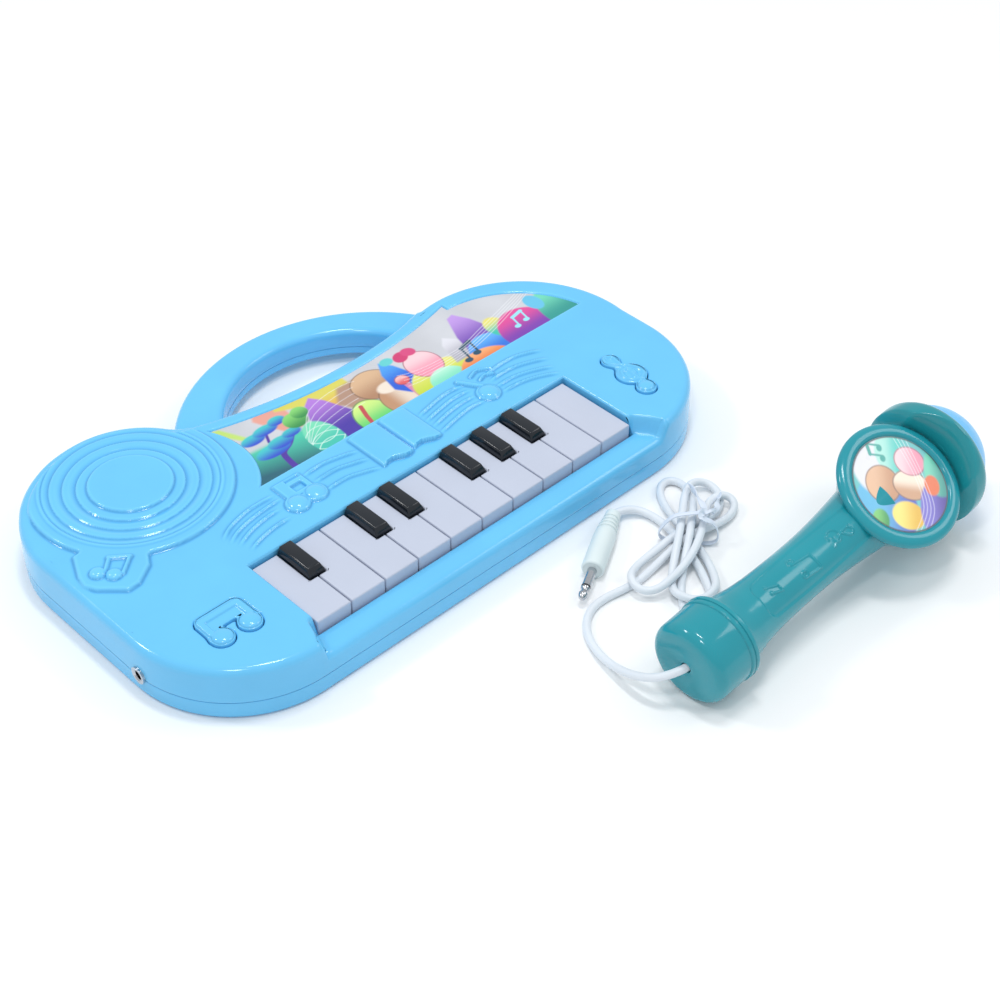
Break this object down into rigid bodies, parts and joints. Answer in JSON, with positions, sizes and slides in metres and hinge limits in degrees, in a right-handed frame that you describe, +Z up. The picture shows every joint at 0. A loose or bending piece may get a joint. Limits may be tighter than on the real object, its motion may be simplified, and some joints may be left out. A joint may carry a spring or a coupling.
{
  "type": "toy electronic keyboard",
  "caption": "Light blue toy keyboard with hinged white and black keys, two note-shaped buttons, a carrying handle, a printed panel and a wired teal toy microphone.",
  "frame": {"origin": "centre of the flat underside of the keyboard case", "axes": "+X along the keys to the player's right, +Y away from the player, +Z up"},
  "size_m": [0.2837, 0.2688, 0.0486],
  "materials": {
    "black_key_plastic": "moulded near-black plastic, gloss",
    "black_lead": "insulated wire",
    "case_plastic": "moulded light blue plastic, semi-gloss",
    "cell_jacket": "plain shrink jacket",
    "circuit_board": "green laminate",
    "contact_rubber": "soft silicone rubber",
    "cord_vinyl": "white soft vinyl jacket",
    "dark_parts": "black moulded parts",
    "dome_plastic": "moulded light blue plastic, semi-gloss",
    "holder_plastic": "white moulded plastic",
    "mic_plastic": "moulded teal plastic, gloss",
    "plated_metal": "bright nickel plate",
    "plug_vinyl": "white moulded vinyl",
    "printed_badge": "printed round badge, gloss film",
    "printed_panel": "printed film, satin",
    "red_lead": "insulated wire",
    "speaker_paper": "pressed paper cone",
    "steel": "bright steel",
    "tie_plastic": "white plastic tie",
    "white_key_plastic": "moulded cool white plastic, semi-gloss",
    "yellow_lead": "insulated wire"
  },
  "bodies": {
    "case": {"upper_case": "case_plastic", "lower_case": "case_plastic", "art_panel": "printed_panel", "key_pivot_rod": "steel", "key_return_strip": "contact_rubber", "main_board": "circuit_board", "board_parts": "dark_parts", "button_pads": "contact_rubber", "speaker_frame": "dark_parts", "speaker_cone": "speaker_paper", "speaker_magnet": "steel", "jack_socket": "plated_metal", "power_switch": "dark_parts", "battery_contacts": "plated_metal", "battery_cells": "cell_jacket", "case_screws": "steel", "speaker_leads": "red_lead", "battery_leads": "black_lead", "jack_leads": "yellow_lead"},
    "white_key_01": {"white_key_01": "white_key_plastic"},
    "white_key_02": {"white_key_02": "white_key_plastic"},
    "white_key_03": {"white_key_03": "white_key_plastic"},
    "white_key_04": {"white_key_04": "white_key_plastic"},
    "white_key_05": {"white_key_05": "white_key_plastic"},
    "white_key_06": {"white_key_06": "white_key_plastic"},
    "white_key_07": {"white_key_07": "white_key_plastic"},
    "white_key_08": {"white_key_08": "white_key_plastic"},
    "white_key_09": {"white_key_09": "white_key_plastic"},
    "white_key_10": {"white_key_10": "white_key_plastic"},
    "black_key_1": {"black_key_1": "black_key_plastic"},
    "black_key_2": {"black_key_2": "black_key_plastic"},
    "black_key_3": {"black_key_3": "black_key_plastic"},
    "black_key_4": {"black_key_4": "black_key_plastic"},
    "black_key_5": {"black_key_5": "black_key_plastic"},
    "black_key_6": {"black_key_6": "black_key_plastic"},
    "note_button": {"note_button": "case_plastic"},
    "clef_button": {"clef_button": "case_plastic"},
    "power_slider": {"power_slider": "white_key_plastic"},
    "battery_cover": {"battery_cover": "case_plastic", "battery_screw": "steel"},
    "microphone": {"mic_front_shell": "mic_plastic", "mic_back_shell": "mic_plastic", "mic_end_cap": "mic_plastic", "mic_badge_ring": "mic_plastic", "mic_badge": "printed_badge", "mic_collar": "mic_plastic", "mic_dome": "dome_plastic", "mic_capsule": "plated_metal", "mic_capsule_holder": "holder_plastic", "mic_screws": "steel", "mic_cord": "cord_vinyl", "plug_barrel": "plug_vinyl", "plug_ring": "dark_parts", "plug_shaft": "plated_metal", "cord_tie": "tie_plastic"}
  },
  "joints": [
    {"name": "white_key_01_press", "type": "hinge", "parent": "case", "child": "white_key_01", "pos_m": [-0.06835, -0.005, 0.013], "axis": [1, 0, 0], "range_deg": [0, 2.5], "stiffness_Nm_per_rad": 0.2, "springref_deg": -4.58},
    {"name": "white_key_02_press", "type": "hinge", "parent": "case", "child": "white_key_02", "pos_m": [-0.05305, -0.005, 0.013], "axis": [1, 0, 0], "range_deg": [0, 2.5], "stiffness_Nm_per_rad": 0.2, "springref_deg": -4.58},
    {"name": "white_key_03_press", "type": "hinge", "parent": "case", "child": "white_key_03", "pos_m": [-0.03775, -0.005, 0.013], "axis": [1, 0, 0], "range_deg": [0, 2.5], "stiffness_Nm_per_rad": 0.2, "springref_deg": -4.58},
    {"name": "white_key_04_press", "type": "hinge", "parent": "case", "child": "white_key_04", "pos_m": [-0.02245, -0.005, 0.013], "axis": [1, 0, 0], "range_deg": [0, 2.5], "stiffness_Nm_per_rad": 0.2, "springref_deg": -4.58},
    {"name": "white_key_05_press", "type": "hinge", "parent": "case", "child": "white_key_05", "pos_m": [-0.00715, -0.005, 0.013], "axis": [1, 0, 0], "range_deg": [0, 2.5], "stiffness_Nm_per_rad": 0.2, "springref_deg": -4.58},
    {"name": "white_key_06_press", "type": "hinge", "parent": "case", "child": "white_key_06", "pos_m": [0.00815, -0.005, 0.013], "axis": [1, 0, 0], "range_deg": [0, 2.5], "stiffness_Nm_per_rad": 0.2, "springref_deg": -4.58},
    {"name": "white_key_07_press", "type": "hinge", "parent": "case", "child": "white_key_07", "pos_m": [0.02345, -0.005, 0.013], "axis": [1, 0, 0], "range_deg": [0, 2.5], "stiffness_Nm_per_rad": 0.2, "springref_deg": -4.58},
    {"name": "white_key_08_press", "type": "hinge", "parent": "case", "child": "white_key_08", "pos_m": [0.03875, -0.005, 0.013], "axis": [1, 0, 0], "range_deg": [0, 2.5], "stiffness_Nm_per_rad": 0.2, "springref_deg": -4.58},
    {"name": "white_key_09_press", "type": "hinge", "parent": "case", "child": "white_key_09", "pos_m": [0.05405, -0.005, 0.013], "axis": [1, 0, 0], "range_deg": [0, 2.5], "stiffness_Nm_per_rad": 0.2, "springref_deg": -4.58},
    {"name": "white_key_10_press", "type": "hinge", "parent": "case", "child": "white_key_10", "pos_m": [0.06935, -0.005, 0.013], "axis": [1, 0, 0], "range_deg": [0, 2.5], "stiffness_Nm_per_rad": 0.2, "springref_deg": -4.58},
    {"name": "black_key_1_press", "type": "hinge", "parent": "case", "child": "black_key_1", "pos_m": [-0.0607, -0.005, 0.013], "axis": [1, 0, 0], "range_deg": [0, 2.5], "stiffness_Nm_per_rad": 0.2, "springref_deg": -4.58},
    {"name": "black_key_2_press", "type": "hinge", "parent": "case", "child": "black_key_2", "pos_m": [-0.0301, -0.005, 0.013], "axis": [1, 0, 0], "range_deg": [0, 2.5], "stiffness_Nm_per_rad": 0.2, "springref_deg": -4.58},
    {"name": "black_key_3_press", "type": "hinge", "parent": "case", "child": "black_key_3", "pos_m": [-0.0148, -0.005, 0.013], "axis": [1, 0, 0], "range_deg": [0, 2.5], "stiffness_Nm_per_rad": 0.2, "springref_deg": -4.58},
    {"name": "black_key_4_press", "type": "hinge", "parent": "case", "child": "black_key_4", "pos_m": [0.0158, -0.005, 0.013], "axis": [1, 0, 0], "range_deg": [0, 2.5], "stiffness_Nm_per_rad": 0.2, "springref_deg": -4.58},
    {"name": "black_key_5_press", "type": "hinge", "parent": "case", "child": "black_key_5", "pos_m": [0.0311, -0.005, 0.013], "axis": [1, 0, 0], "range_deg": [0, 2.5], "stiffness_Nm_per_rad": 0.2, "springref_deg": -4.58},
    {"name": "black_key_6_press", "type": "hinge", "parent": "case", "child": "black_key_6", "pos_m": [0.0464, -0.005, 0.013], "axis": [1, 0, 0], "range_deg": [0, 2.5], "stiffness_Nm_per_rad": 0.2, "springref_deg": -4.58},
    {"name": "note_button_press", "type": "slide", "parent": "case", "child": "note_button", "axis": [0, 0, -1], "range_m": [0, 0.0015], "stiffness_N_per_m": 300, "springref_m": -0.002},
    {"name": "clef_button_press", "type": "slide", "parent": "case", "child": "clef_button", "axis": [0, 0, -1], "range_m": [0, 0.0015], "stiffness_N_per_m": 300, "springref_m": -0.002},
    {"name": "power_slider_move", "type": "slide", "parent": "case", "child": "power_slider", "axis": [0, 1, 0], "range_m": [0, 0.0038]},
    {"name": "battery_cover_release", "type": "slide", "parent": "case", "child": "battery_cover", "axis": [0, 0, -1], "range_m": [0, 0.03]},
    {"name": "microphone_lift", "type": "slide", "parent": "case", "child": "microphone", "axis": [0, 0, 1], "range_m": [0, 0.15]}
  ]
}
